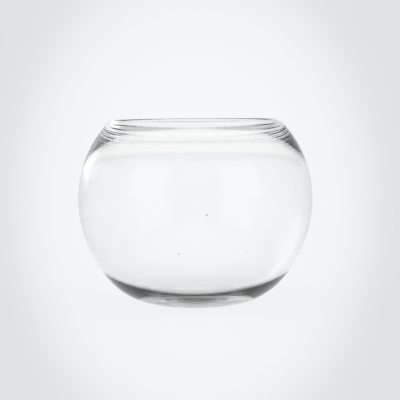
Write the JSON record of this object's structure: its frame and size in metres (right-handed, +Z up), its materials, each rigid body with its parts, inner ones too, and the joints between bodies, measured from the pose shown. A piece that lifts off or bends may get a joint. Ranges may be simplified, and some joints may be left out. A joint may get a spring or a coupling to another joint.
{
  "type": "rose bowl vase",
  "caption": "Round rose bowl vase of clear blown glass: wide belly, thin wall swelling to a thick fire-polished lip, heavy base with a punt.",
  "frame": {"origin": "centre of the foot, on the surface that the bowl stands on", "axes": "+Z up along the bowl's axis of revolution, out of the mouth; +X and +Y lie in the table's plane, and -Y faces the picture's viewer"},
  "size_m": [0.15, 0.15, 0.117],
  "materials": {
    "clear_glass": "clear soda-lime glass, blown, fire-polished lip"
  },
  "bodies": {
    "root": {"glass_bowl": "clear_glass"}
  },
  "joints": []
}
